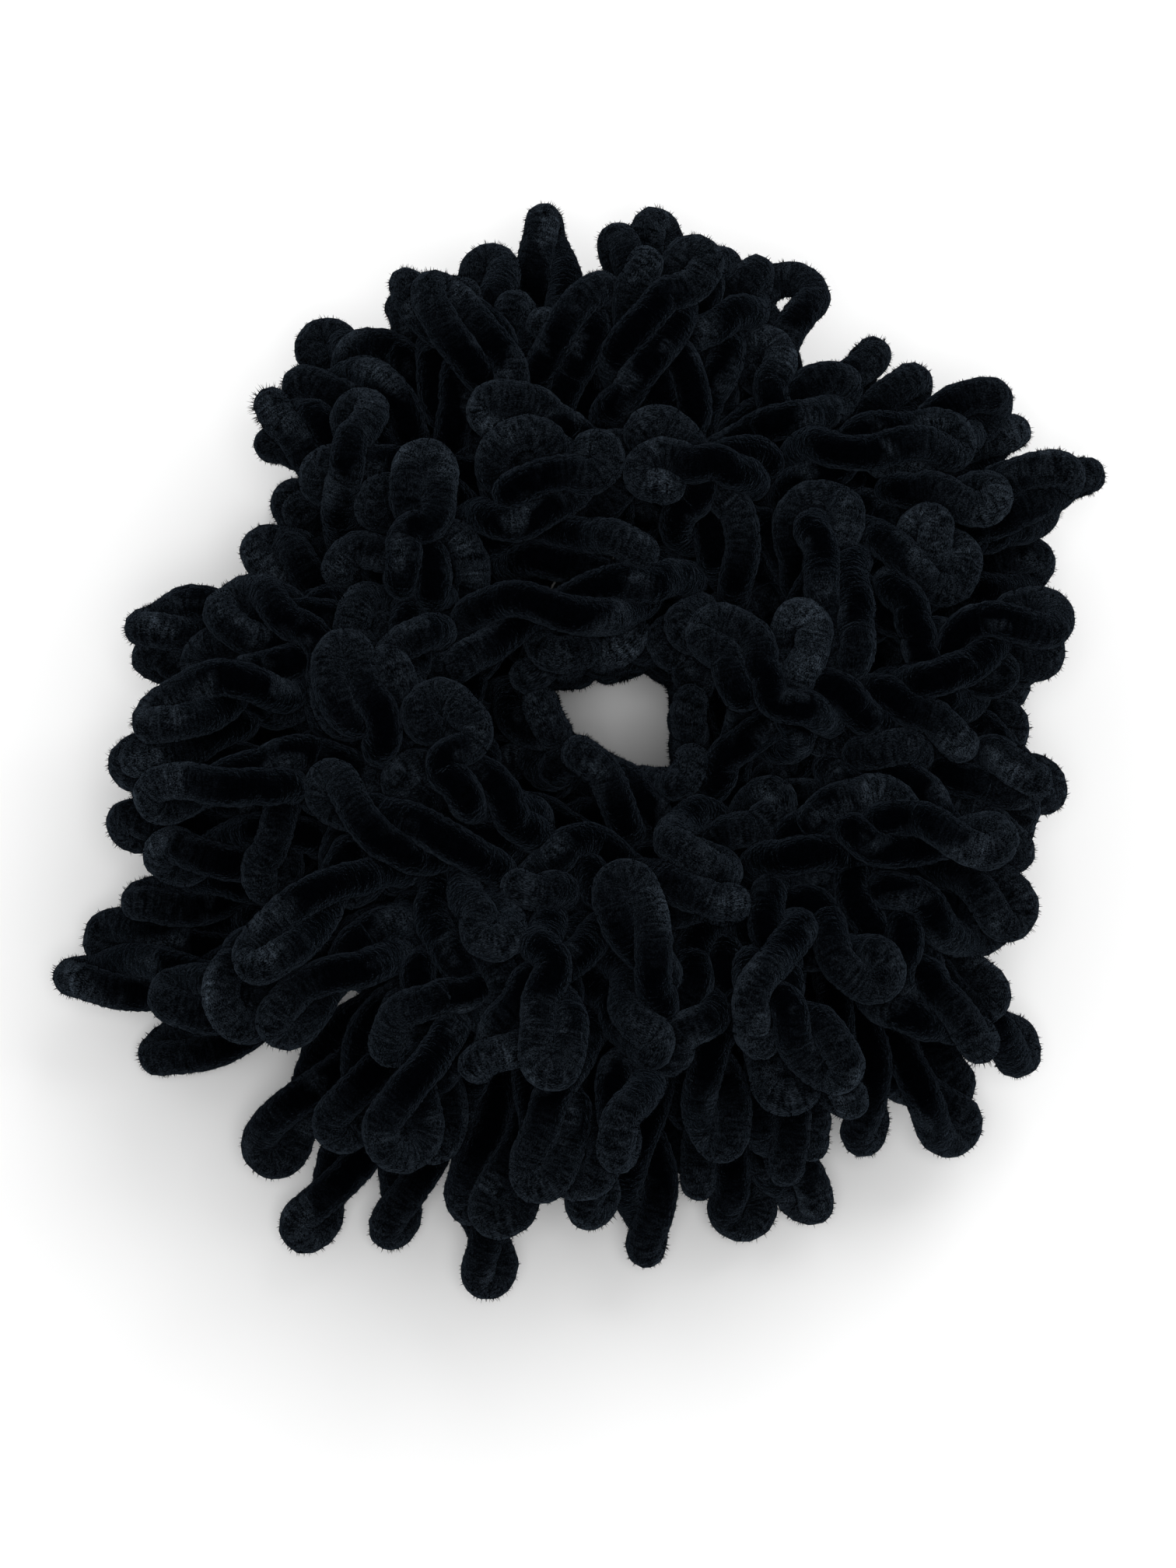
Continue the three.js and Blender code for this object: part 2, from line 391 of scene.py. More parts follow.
def layLoops():
    cords = []
    for bunch, middle in enumerate(bindings):
        out = unit((middle - ringMiddle) * [1, 1, 0])
        along = np.cross([0, 0, 1], out)
        loops = looseLoops(bunch, middle, out, along)
        placed = []
        for owner, passes, turns, tipRadius in chosenLoops:
            if owner != bunch + 1:
                continue
            spine = chosenSpine(middle, along, passes, tipRadius)
            ends = [np.linalg.norm(loop["spine"][-1] - spine[-1]) for loop in loops]
            loops.pop(int(np.argmin(ends)))
            kind = kindOf(spine, middle, out)
            loop = {"kind": kind, "spine": spine, "turns": turns, "tip": tipRadius}
            placed.append(loop | {"hold": chosenHold})
        for loop in placed + loops:
            tangents = np.gradient(loop["spine"], axis=0)
            tangents /= np.linalg.norm(tangents, axis=1)[:, None]
            phase = rng.uniform(0, 2 * math.pi)
            points = hairpin(loop["spine"], tangents, loop["turns"], phase, loop["tip"])
            points, total = evenly(points, cord["step"])
            cords.append({
                "bunch": bunch, "kind": loop["kind"], "points": points, "length": total,
                "hold": loop["hold"],
            })  # fmt: skip
    return cords


cords = layLoops()
print("loops", len(cords), "cord", round(sum(c["length"] for c in cords) / 1000, 1), "m")


def cordRadius(points):
    # thin where the loop is tied down, full further out
    gone = np.linspace(0, 1, len(points)) * (len(points) - 1) * cord["step"]
    fromEnd = np.minimum(gone, gone[::-1])
    share = np.clip(fromEnd / cord["taperOver"], 0, 1)
    share = share * share * (3 - 2 * share)
    return cord["rootRadius"] + (cord["radius"] - cord["rootRadius"]) * share


settling = {
    "rounds": 170,
    "refresh": 5,
    "weight": 0.05,  # mm a round
    "bend": 0.5,
    "pair": 0.35,
    "home": 0.012,
    "holeLean": 0.29,  # mm sideways for each mm up
    "top": 55.5,
}


def closePairs(points, reach):
    cell = np.floor(points / reach).astype(np.int64)
    cell -= cell.min(0) - 1
    size = cell.max(0) + 2
    key = (cell[:, 0] * size[1] + cell[:, 1]) * size[2] + cell[:, 2]
    order = np.argsort(key, kind="stable")
    ranked = key[order]
    everyone = np.arange(len(points))
    found = []
    for dx in (-1, 0, 1):
        for dy in (-1, 0, 1):
            for dz in (-1, 0, 1):
                shift = (dx * size[1] + dy) * size[2] + dz
                if shift < 0:
                    continue
                first = np.searchsorted(ranked, key + shift, "left")
                count = np.searchsorted(ranked, key + shift, "right") - first
                a = np.repeat(everyone, count)
                within = np.arange(count.sum()) - np.repeat(np.cumsum(count) - count, count)
                b = order[np.repeat(first, count) + within]
                if shift == 0:
                    a, b = a[a < b], b[a < b]
                near = ((points[a] - points[b]) ** 2).sum(1) < reach * reach
                found.append(np.stack([a[near], b[near]]))
    return np.concatenate(found, axis=1)


def pullTogether(points, a, b, rest, stiffness, free):
    apart = points[b] - points[a]
    length = np.linalg.norm(apart, axis=1)
    share = stiffness * (length - rest) / np.maximum(length, 1e-6)
    total = np.maximum(free[a] + free[b], 1e-6)
    points[a] += apart * (share * free[a] / total)[:, None]
    points[b] -= apart * (share * free[b] / total)[:, None]


def settle(cords):
    points = np.concatenate([c["points"] for c in cords])
    radii = np.concatenate([cordRadius(c["points"]) for c in cords])
    home = points.copy()
    sizes = [len(c["points"]) for c in cords]
    starts = np.cumsum([0] + sizes[:-1])
    place = np.concatenate([np.arange(n) for n in sizes])
    owner = np.repeat(np.arange(len(cords)), sizes)
    hold = np.repeat([c["hold"] for c in cords], sizes) * settling["home"]
    free = np.ones(len(points))
    for s, n in zip(starts, sizes):
        free[[s, s + 1, s + n - 2, s + n - 1]] = 0

    def chain(reach):
        a = np.concatenate([np.arange(s, s + n - reach) for s, n in zip(starts, sizes)])
        rest = np.linalg.norm(home[a + reach] - home[a], axis=1)
        early = (place[a] // reach) % 2 == 0
        return [(a[early], a[early] + reach, rest[early]), (a[~early], a[~early] + reach, rest[~early])]

    stretch = chain(1)
    bend = chain(2)
    a = np.concatenate([np.arange(s, s + n // 2) for s, n in zip(starts, sizes)])
    b = np.concatenate([np.arange(s + n - 1, s + n - 1 - n // 2, -1) for s, n in zip(starts, sizes)])
    pairRest = np.linalg.norm(home[a] - home[b], axis=1)
    reach = 2 * radii.max() + 1.2
    for step in range(settling["rounds"]):
        if step % settling["refresh"] == 0:
            i, j = closePairs(points, reach)
            apart = (owner[i] != owner[j]) | (np.abs(place[i] - place[j]) > 3)
            i, j = i[apart], j[apart]
            want = (radii[i] + radii[j]) * np.where(owner[i] == owner[j], cord["legTouch"], cord["touch"])
        points[:, 2] -= settling["weight"] * free
        points += (home - points) * (hold * free)[:, None]
        for first, second, rest in bend:
            pullTogether(points, first, second, rest, settling["bend"], free)
        pullTogether(points, a, b, pairRest, settling["pair"], free)
        for first, second, rest in stretch:
            pullTogether(points, first, second, rest, 1.0, free)
        gap = points[j] - points[i]
        length = np.maximum(np.linalg.norm(gap, axis=1), 1e-6)
        inside = length < want
        p, q = i[inside], j[inside]
        push = gap[inside] * ((want[inside] - length[inside]) / length[inside] * 0.5)[:, None]
        count = np.bincount(p, minlength=len(points)) + np.bincount(q, minlength=len(points))
        for k in range(3):
            moved = np.bincount(q, push[:, k], len(points)) - np.bincount(p, push[:, k], len(points))
            points[:, k] += moved / np.maximum(count, 1) ** 0.6 * 1.2 * free
        # hair hole, leaning a little so that it can be seen through
        leaning = (points[:, 2] - ringMiddle[2]) * settling["holeLean"]
        axis = np.stack([np.full(len(points), ringMiddle[0]), ringMiddle[1] - leaning], 1)
        off = points[:, :2] - axis
        far = np.maximum(np.linalg.norm(off, axis=1), 1e-6)
        facing = np.degrees(np.arctan2(off[:, 1], off[:, 0])) % 360
        clear = np.interp(facing, list(holeReach), list(holeReach.values()))
        short = np.maximum(clear + radii - far, 0) * free
        points[:, :2] += off * (short / far)[:, None]
        height = np.clip(points[:, 2], 1.05 * radii, settling["top"])
        points[:, 2] = np.where(free > 0, height, points[:, 2])
    deepest = float((want[inside] - length[inside]).max())
    print("settled, deepest overlap", round(deepest, 2), "pairs", len(p))
    for c, s, n in zip(cords, starts, sizes):
        c["points"] = points[s : s + n]


settle(cords)

# ---- shader sums

class Wire:
    # one output of a node, which can be added, multiplied and so on as a number can
    def __init__(self, finish, socket):
        self.finish = finish
        self.socket = socket

    def sum(self, operation, first, second):
        return self.finish.node("ShaderNodeMath", {"operation": operation}, {0: first, 1: second})

    def __add__(self, other):
        return self.sum("ADD", self, other)

    def __radd__(self, other):
        return self.sum("ADD", other, self)

    def __sub__(self, other):
        return self.sum("SUBTRACT", self, other)

    def __rsub__(self, other):
        return self.sum("SUBTRACT", other, self)

    def __mul__(self, other):
        return self.sum("MULTIPLY", self, other)

    def __rmul__(self, other):
        return self.sum("MULTIPLY", other, self)


class Finish:
    # one material; plain numbers go straight onto the shader's sockets
    def __init__(self, name, **plain):
        self.material = bpy.data.materials.new(name)
        self.material.use_nodes = True
        self.tree = self.material.node_tree
        self.shader = self.tree.nodes["Principled BSDF"]
        self.set(**plain)

    def node(self, kind, settings=None, sockets=None, out=0):
        made = self.tree.nodes.new(kind)
        for name, value in (settings or {}).items():
            if name == "stops":
                self.setStops(made.color_ramp, value)
            else:
                setattr(made, name, value)
        for name, value in (sockets or {}).items():
            self.plug(made.inputs[name], value)
        return Wire(self, made.outputs[out])

    def setStops(self, ramp, stops):
        while len(ramp.elements) < len(stops):
            ramp.elements.new(1)
        for element, (place, shade) in zip(ramp.elements, stops):
            element.position = place
            element.color = (shade, shade, shade, 1)

    def plug(self, socket, value):
        if isinstance(value, Wire):
            self.tree.links.new(value.socket, socket)
        else:
            socket.default_value = (*value, 1) if socket.type == "RGBA" and len(value) == 3 else value

    def set(self, **values):
        for name, value in values.items():
            self.plug(self.shader.inputs[socketNames[name]], value)

    def attribute(self, name):
        return self.node("ShaderNodeAttribute", {"attribute_name": name}, out="Vector")

    def stretched(self, vector, amounts):
        return self.node("ShaderNodeVectorMath", {"operation": "MULTIPLY"}, {0: vector, 1: amounts})

    def noise(self, vector, scale, detail=2.0, roughness=0.5):
        sockets = {"Vector": vector, "Scale": scale, "Detail": detail, "Roughness": roughness}
        return self.node("ShaderNodeTexNoise", sockets=sockets)

    def ramp(self, value, *stops):
        return self.node("ShaderNodeValToRGB", {"stops": stops}, {0: value})

    def blend(self, share, one, other):
        return self.node("ShaderNodeMix", {"data_type": "RGBA"}, {0: share, 6: one, 7: other}, out=2)

    def bump(self, height, distance, strength=1.0):
        sockets = {"Height": height, "Distance": distance, "Strength": strength}
        return self.node("ShaderNodeBump", sockets=sockets)


socketNames = {
    "color": "Base Color", "roughness": "Roughness", "metallic": "Metallic", "normal": "Normal",
    "specular": "Specular IOR Level", "sheen": "Sheen Weight", "sheenRoughness": "Sheen Roughness",
    "sheenTint": "Sheen Tint", "anisotropic": "Anisotropic",
}  # fmt: skip

# ---- chenille

chenille = {
    "sides": 16,
    "ringStep": 0.5,
    "waist": 0.05,  # share of the radius that comes and goes along the cord
    "tuft": 0.13,  # mm that the pile's tips stand in and out
    "black": (0.0002, 0.0003, 0.0005),
    "slate": (0.0008, 0.0011, 0.0018),
    # painted sheen: a light colour laid on patches of the pile and round the turned ends, where the pile
    # would catch the light
    "paintedSheen": (0.076, 0.099, 0.127),
    "sheen": 0.078,
    "fibreSheen": 0.02,
    "tipHighlightOver": 12,  # mm each way from the turned end where the pile opens; over it a painted highlight lightens the velvet's colour
    "sheenRoughness": 0.2,
    "sheenTint": (0.45, 0.6, 0.8),
}

fibres = {
    "perSquareMm": 2.15,
    "rootDepth": 0.2,
    "stand": (0.16, 0.42),  # mm beyond the skin
    "tipStand": (0.3, 0.8),  # the same round the turned end of a loop
    "tipOver": 7,  # mm each way from that end
    "frayed": 0.05,  # share of loops whose end has burst
    "frayedStand": (0.6, 1.3),
    "frayedOver": 4.5,
    "halfWidth": 0.075,
    "tuftPitch": 1.1,
    "lean": 0.28,
    "bareRoot": 11,  # mm at each end, hidden by the binding
    "clearOf": 2.2,  # mm about another cord's middle where no fibre shows
}


def sheathOf(points, radii, random):
    # skin of one cord: rings round its middle line, with the frames that carry them
    line, total = evenly(smoothLine(points), chenille["ringStep"])
    share = np.linspace(0, 1, len(line))
    radius = np.interp(share, np.linspace(0, 1, len(radii)), radii)
    knots = np.arange(0, len(line) + 12, 12)
    swell = np.interp(np.arange(len(line)), knots, random.normal(size=len(knots)))
    radius = radius * (1 + chenille["waist"] * 0.5 * swell)
    tangents = np.gradient(line, axis=0)
    tangents /= np.linalg.norm(tangents, axis=1)[:, None]
    normals, others = carriedFrames(tangents, np.array([0.31, 0.17, 0.93]))
    return {
        "line": line, "radius": radius, "total": total,
        "tangents": tangents, "normals": normals, "others": others,
    }  # fmt: skip


def roundFrom(sheath, at, angle):
    # the way straight out of the cord at a place along it and an angle round it
    normals, others = sheath["normals"][at], sheath["others"][at]
    return np.cos(angle)[..., None] * normals + np.sin(angle)[..., None] * others


def skinRings(sheath, random):
    sides = chenille["sides"]
    rings = len(sheath["line"])
    at = np.repeat(np.arange(rings)[:, None], sides, axis=1)
    angle = (np.arange(sides)[None, :] + 0.5 * (np.arange(rings) % 2)[:, None]) * 2 * math.pi / sides
    rough = random.uniform(-1, 0.7, (rings, sides)) * chenille["tuft"] / cord["radius"]
    reach = sheath["radius"][:, None] * (1 + rough)
    ring = sheath["line"][at] + reach[..., None] * roundFrom(sheath, at, angle)
    way = np.stack([at * chenille["ringStep"], reach * np.cos(angle), reach * np.sin(angle)], -1)
    return ring, way


def tubeFaces(rings, sides, first):
    # rings are staggered by half a side, so the diagonals alternate
    j, i = np.meshgrid(np.arange(rings - 1), np.arange(sides), indexing="ij")
    odd = (j % 2)[..., None] == 1
    a = first + j * sides + i
    b = first + j * sides + (i + 1) % sides
    c = a + sides
    d = b + sides
    one = np.where(odd, np.stack([a, b, d], -1), np.stack([a, b, c], -1))
    two = np.where(odd, np.stack([a, d, c], -1), np.stack([b, d, c], -1))
    return np.concatenate([one.reshape(-1, 3), two.reshape(-1, 3)])


def endFaces(first, centre, sides, flip):
    i = np.arange(sides)
    a, b = first + i, first + (i + 1) % sides
    c = np.full(sides, centre)
    return np.stack([b, a, c] if flip else [a, b, c], -1)


def capped(rings, sides, first=0):
    # a closed tube: its sides, then a fan of faces at each end, whose middles follow the rings
    last = first + rings * sides
    return np.concatenate([
        tubeFaces(rings, sides, first),
        endFaces(first, last, sides, True),
        endFaces(last - sides, last + 1, sides, False),
    ])


def meshFrom(name, vertices, triangles, ways=None, splay=None):
    vertices = np.maximum(vertices, (-np.inf, -np.inf, 0))  # the table's top
    mesh = bpy.data.meshes.new(name)
    mesh.vertices.add(len(vertices))
    mesh.vertices.foreach_set("co", (vertices * mm).astype(np.float32).ravel())
    mesh.loops.add(3 * len(triangles))
    mesh.loops.foreach_set("vertex_index", triangles.astype(np.int32).ravel())
    mesh.polygons.add(len(triangles))
    mesh.polygons.foreach_set("loop_start", np.arange(0, 3 * len(triangles), 3, dtype=np.int32))
    mesh.polygons.foreach_set("use_smooth", np.ones(len(triangles), bool))
    if ways is not None:
        lay = mesh.attributes.new("lay", "FLOAT_VECTOR", "POINT")
        lay.data.foreach_set("vector", ways.astype(np.float32).ravel())
    # a share of painted highlight for each vertex
    if splay is not None:
        mesh.attributes.new("splay", "FLOAT", "POINT").data.foreach_set("value", splay.astype(np.float32))
    mesh.update(calc_edges=True)
    obj = bpy.data.objects.new(name, mesh)
    bpy.context.collection.objects.link(obj)
    return obj


def velvetFinish():
    finish = Finish(
        "velvet_chenille", specular=0.0, sheen=chenille["sheen"],
        sheenRoughness=chenille["sheenRoughness"], sheenTint=chenille["sheenTint"],
    )  # fmt: skip
    lay = finish.attribute("lay")
    fuzz = finish.noise(lay, 6.5, 3)
    rows = finish.noise(finish.stretched(lay, (1.0, 0.16, 0.16)), 2.6, 2)
    tufts = finish.noise(lay, 1.7, 2)
    # painted sheen: noise patches where the colour turns light, also a little less rough
    sheenPatches = finish.ramp(finish.noise(lay, 0.13, 2), (0.56, 0), (0.74, 1))
    # painted highlight, strongest at each loop's turned end
    tipHighlit = finish.node("ShaderNodeAttribute", {"attribute_name": "splay"}, out="Fac")
    tone = finish.ramp(0.55 * fuzz + 0.3 * rows + 0.15 * tufts, (0.38, 0), (0.66, 1))
    shade = finish.blend(tone, chenille["black"], chenille["slate"])
    finish.set(
        # painted sheen and highlight: light colour in those patches and near the turned ends, grained by
        # the tone
        color=finish.blend((0.6 * sheenPatches + 0.28 * tipHighlit) * tone * tone, shade, chenille["paintedSheen"]),
        roughness=0.98 - 0.2 * sheenPatches,
        normal=finish.bump(0.4 * fuzz + 0.5 * rows + 0.7 * tufts, 0.55 * mm),
    )
    return finish.material


def fibreFinish():
    finish = Finish(
        "velvet_pile_tips", specular=0.0, sheen=chenille["fibreSheen"],
        sheenRoughness=chenille["sheenRoughness"], sheenTint=chenille["sheenTint"],
    )  # fmt: skip
    lay = finish.attribute("lay")
    tone = finish.ramp(finish.noise(lay, 1.3, 1), (0.35, 0), (0.7, 1))
    finish.set(color=finish.blend(tone, chenille["black"], chenille["slate"]), roughness=0.9 + 0.08 * tone)
    return finish.material


def makeSheaths():
    for index, c in enumerate(cords):
        random = np.random.default_rng(1000 + index)
        c["random"] = random
        c["seed"] = np.array([index * 37.0, index * 11.0, 0])
        c["sheath"] = sheathOf(c["points"], cordRadius(c["points"]), random)
        c["frayed"] = random.random() < fibres["frayed"]


def skinObject(kind, bunch):
    vertices, ways, tipHighlights, faces, count = [], [], [], [], 0
    for c in cords:
        if c["kind"] == kind and c["bunch"] == bunch:
            ring, way = skinRings(c["sheath"], c["random"])
            rings, sides = ring.shape[:2]
            line = c["sheath"]["line"]
            ends = [[0, 0, 0], [rings * chenille["ringStep"], 0, 0]]
            vertices += [ring.reshape(-1, 3), line[[0, -1]]]
            ways += [way.reshape(-1, 3) + c["seed"], np.array(ends) + c["seed"]]
            # painted highlight: full at the turned end, fading to none a set distance from it
            fromTip = np.abs(np.linspace(-0.5, 0.5, rings)) * c["sheath"]["total"]
            tipHighlights += [np.repeat(np.clip(1 - fromTip / chenille["tipHighlightOver"], 0, 1), sides), np.zeros(2)]
            faces.append(capped(rings, sides, count))
            count += rings * sides + 2
    name = "chenille_" + kind + "_" + labels[bunch]
    return meshFrom(name, *[np.concatenate(part) for part in (vertices, faces, ways, tipHighlights)])


cordStride = 10000  # a cord's number and a ring's are kept in one, and no cord has this many rings


def takenSpace():
    # which cord, and which ring of it, fills each small cell of space
    pitch = 0.8
    low = np.array([-100.0, -100, -10])
    shape = (250, 250, 110)
    taken = np.full(shape, -1, np.int64)
    reach = int(fibres["clearOf"] / pitch)
    ball = np.stack(np.meshgrid(*[np.arange(-reach, reach + 1)] * 3, indexing="ij"), -1).reshape(-1, 3)
    ball = ball[(ball**2).sum(1) * pitch**2 <= fibres["clearOf"] ** 2]
    for index, c in enumerate(cords):
        cells = ((c["sheath"]["line"] - low) / pitch).astype(int)
        cells = (cells[:, None] + ball[None]).reshape(-1, 3)
        ring = np.repeat(np.arange(len(c["sheath"]["line"])), len(ball))
        taken[cells[:, 0], cells[:, 1], cells[:, 2]] = index * cordStride + ring
    return lambda points: taken[tuple(((points - low) / pitch).astype(int).T)]


def spikesOn(c, index, whoIsAt):
    sheath, random = c["sheath"], c["random"]
    total, radius = sheath["total"], sheath["radius"]
    amount = int(total * 2 * math.pi * cord["radius"] * fibres["perSquareMm"])
    where = random.uniform(fibres["bareRoot"], total - fibres["bareRoot"], amount)
    fromTip = np.abs(where - total / 2)
    where += np.sin(where * 2 * math.pi / fibres["tuftPitch"]) * 0.16 * fibres["tuftPitch"]
    angle = random.uniform(0, 2 * math.pi, amount)
    last = len(sheath["line"]) - 1
    at = np.clip((where / total * last).round().astype(int), 0, last)
    out = roundFrom(sheath, at, angle)
    nearTip = np.clip(1 - fromTip / fibres["tipOver"], 0, 1)
    stand = random.uniform(*fibres["stand"], amount)
    stand += (random.uniform(*fibres["tipStand"], amount) - stand) * nearTip
    if c["frayed"]:
        burst = np.clip(1.4 - fromTip / fibres["frayedOver"], 0, 1)
        stand += (random.uniform(*fibres["frayedStand"], amount) - stand) * burst
    slip = (where / total * last - at)[:, None] * chenille["ringStep"] * sheath["tangents"][at]
    lean = random.normal(size=(amount, 3)) * fibres["lean"] + sheath["tangents"][at] * 0.1
    way = out + lean
    way /= np.linalg.norm(way, axis=1)[:, None]
    root = sheath["line"][at] + slip + out * (radius[at] - fibres["rootDepth"])[:, None]
    tip = root + way * (stand + fibres["rootDepth"])[:, None]
    found = whoIsAt(tip)
    own = (found < 0) | ((found // cordStride == index) & (np.abs(found % cordStride - at) < 9))
    own &= tip[:, 2] > 0.1
    root, tip, way, at, angle = root[own], tip[own], way[own], at[own], angle[own]
    side = np.cross(way, sheath["tangents"][at])
    side /= np.maximum(np.linalg.norm(side, axis=1), 1e-6)[:, None]
    other = np.cross(way, side)
    half = fibres["halfWidth"]
    thirds = (0, 2 * math.pi / 3, 4 * math.pi / 3)
    base = [root + half * (math.cos(k) * side + math.sin(k) * other) for k in thirds]
    vertices = np.concatenate([*base, tip])
    n = len(root)
    i = np.arange(n)
    faces = [
        (i, i + n, i + 3 * n), (i + n, i + 2 * n, i + 3 * n),
        (i + 2 * n, i, i + 3 * n), (i + 2 * n, i + n, i),
    ]  # fmt: skip
    faces = np.concatenate([np.stack(f, -1) for f in faces])
    lay = np.stack([at * chenille["ringStep"], np.cos(angle) * 2, np.sin(angle) * 2], -1) + c["seed"]
    return vertices, faces, np.tile(lay, (4, 1))


def pileObject(bunch, whoIsAt):
    vertices, ways, faces, count = [], [], [], 0
    for index, c in enumerate(cords):
        if c["bunch"] == bunch:
            spikes, triangles, way = spikesOn(c, index, whoIsAt)
            vertices.append(spikes)
            faces.append(triangles + count)
            ways.append(way)
            count += len(spikes)
    joinedUp = [np.concatenate(part) for part in (vertices, faces, ways)]
    return meshFrom("pile_" + labels[bunch], *joinedUp)


def makeChenille():
    makeSheaths()
    velvet, tips = velvetFinish(), fibreFinish()
    for bunch, label in enumerate(labels):
        for kind in fans:
            piece = skinObject(kind, bunch)
            piece.data.materials.append(velvet)
            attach(piece, bunchNames[bunch])
            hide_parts(kind + "_" + label)
    print("velvet skins made")
    whoIsAt = takenSpace()
    total = 0
    for bunch in range(len(labels)):
        piece = pileObject(bunch, whoIsAt)
        piece.data.materials.append(tips)
        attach(piece, bunchNames[bunch])
        total += len(piece.data.polygons) // 4
    print("pile fibres", total)


makeChenille()

# ---- bindings of thread

thread = {
    "length": 7.0,  # of a binding, along the elastic
    "radius": 0.3,
    "sides": 6,
    "steps": 22,  # a turn
    "pitch": 0.62,
    "core": 3.55,
    "coreSides": 24,
    "wander": 0.12,
    "wraps": (0.4, 2.6, 4.7),  # radians at which three slanting turns start over the coil
    "color": (0.0016, 0.0018, 0.002),
    "lit": (0.0065, 0.007, 0.0078),
}


def tubeAlong(line, radius, sides):
    tangents = np.gradient(line, axis=0)
    tangents /= np.linalg.norm(tangents, axis=1)[:, None]
    normals, others = carriedFrames(tangents, np.array([0.12, 0.21, 0.97]))
    at = np.repeat(np.arange(len(line))[:, None], sides, axis=1)
    angle = (np.arange(sides)[None, :] + 0.5 * (np.arange(len(line)) % 2)[:, None]) * 2 * math.pi / sides
    way = np.cos(angle)[..., None] * normals[at] + np.sin(angle)[..., None] * others[at]
    ring = line[at] + np.broadcast_to(radius, at.shape)[..., None] * way
    share = np.linspace(0, 1, len(line))[:, None] * np.ones(sides)
    lay = np.stack([share, np.cos(angle), np.sin(angle)], -1)
    vertices = np.concatenate([ring.reshape(-1, 3), line[[0, -1]]])
    lays = np.concatenate([lay.reshape(-1, 3), [[0, 0, 0], [1, 0, 0]]])
    return vertices, capped(len(line), sides), lays


def wrapped(middle, out, along, slide, angle, reach):
    # a line round the elastic, this far along it and this far out
    way = np.cos(angle)[:, None] * out + np.sin(angle)[:, None] * np.array([0, 0, 1])
    return middle + slide[:, None] * along + np.broadcast_to(reach, angle.shape)[:, None] * way


def bindingObject(bunch, middle):
    low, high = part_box("binding_" + labels[bunch])
    out = unit((middle - ringMiddle) * [1, 1, 0])
    along = np.cross([0, 0, 1], out)
    outer = (high[2] - low[2]) / 2 / mm
    length = thread["length"]
    wound = outer - thread["radius"]
    turns = (length - 2 * thread["radius"]) / thread["pitch"]
    steps = int(turns * thread["steps"])
    random = np.random.default_rng(400 + bunch)
    share = np.linspace(0, 1, steps)
    angle = share * turns * 2 * math.pi
    slide = (share - 0.5) * (length - 2 * thread["radius"])
    slide += np.interp(share, np.linspace(0, 1, 30), random.uniform(-1, 1, 30)) * thread["wander"]
    coil = wrapped(middle, out, along, slide, angle, wound)
    pieces = [tubeAlong(coil, thread["radius"], thread["sides"])]
    across = np.linspace(0, 1, 40)
    for start in thread["wraps"]:
        angle = start + across * 1.9
        slide = (across - 0.5) * (length - 1.4)
        lift = wound + thread["radius"] * 0.55 * np.sin(math.pi * across)
        wrap = wrapped(middle, out, along, slide, angle, lift)
        pieces.append(tubeAlong(wrap, thread["radius"], thread["sides"]))
    core = middle + np.linspace(-0.5, 0.5, 9)[:, None] * (length - 0.6) * along
    pieces.append(tubeAlong(core, thread["core"], thread["coreSides"]))
    return joined("thread_binding_" + labels[bunch], pieces)


def joined(name, pieces):
    counts = np.cumsum([0] + [len(p[0]) for p in pieces[:-1]])
    faces = np.concatenate([p[1] + n for p, n in zip(pieces, counts)])
    vertices, lays = (np.concatenate([p[k] for p in pieces]) for k in (0, 2))
    return meshFrom(name, vertices, faces, lays)


def threadFinish():
    finish = Finish("bonded_thread", specular=0.35, sheen=0.15, sheenRoughness=0.4, roughness=0.55)
    strands = finish.noise(finish.stretched(finish.attribute("lay"), (180.0, 2.0, 2.0)), 1.0, 2)
    finish.set(
        color=finish.blend(strands, thread["color"], thread["lit"]),
        roughness=0.45 + 0.25 * strands,
        normal=finish.bump(strands, 0.08 * mm),
    )
    return finish.material


def makeBindings():
    finish = threadFinish()
    for bunch, middle in enumerate(bindings):
        piece = bindingObject(bunch, middle)
        piece.data.materials.append(finish)
        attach(piece, bunchNames[bunch])
        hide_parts("binding_" + labels[bunch])
    print("bindings wound")


makeBindings()

# ---- braided elastic, with the ferrule that closes it

elastic = {
    "radius": 1.95,
    "sides": 40,
    "ringStep": 0.3,
    "ribs": 8,
    "ribDepth": 0.13,
    "ribPitch": 2.4,  # mm along the elastic for one plait
    "intoBinding": 2.2,
    "tongue": 1.3,  # radius of the bare rubber core inside the ferrule
    "tongueReach": 13,
    "color": (0.002, 0.0022, 0.0024),
    "lit": (0.008, 0.0085, 0.009),
}
ringAngles = np.arctan2(bindings[:, 1] - ringMiddle[1], bindings[:, 0] - ringMiddle[0])
stepAngle = 2 * math.pi / len(bindings)


def arcLine(start, end):
    steps = max(4, int(ringRadius * (end - start) / elastic["ringStep"]))
    a = np.linspace(start, end, steps + 1)
    return ringMiddle + ringRadius * np.stack([np.cos(a), np.sin(a), np.zeros_like(a)], -1), a * ringRadius


def braid(start, end):
    # two sets of yarns cross, and each stands proud where it passes over
    line, travelled = arcLine(start, end)
    sides = elastic["sides"]
    angle = (np.arange(sides)[None, :] + 0.5 * (np.arange(len(line)) % 2)[:, None]) * 2 * math.pi / sides
    turn = travelled[:, None] * 2 * math.pi / elastic["ribPitch"]
    oneWay = np.cos(elastic["ribs"] * angle + turn)
    otherWay = np.cos(elastic["ribs"] * angle - turn)
    radius = elastic["radius"] - elastic["ribDepth"] * (1 - np.maximum(oneWay, otherWay))
    return tubeAlong(line, radius, sides)


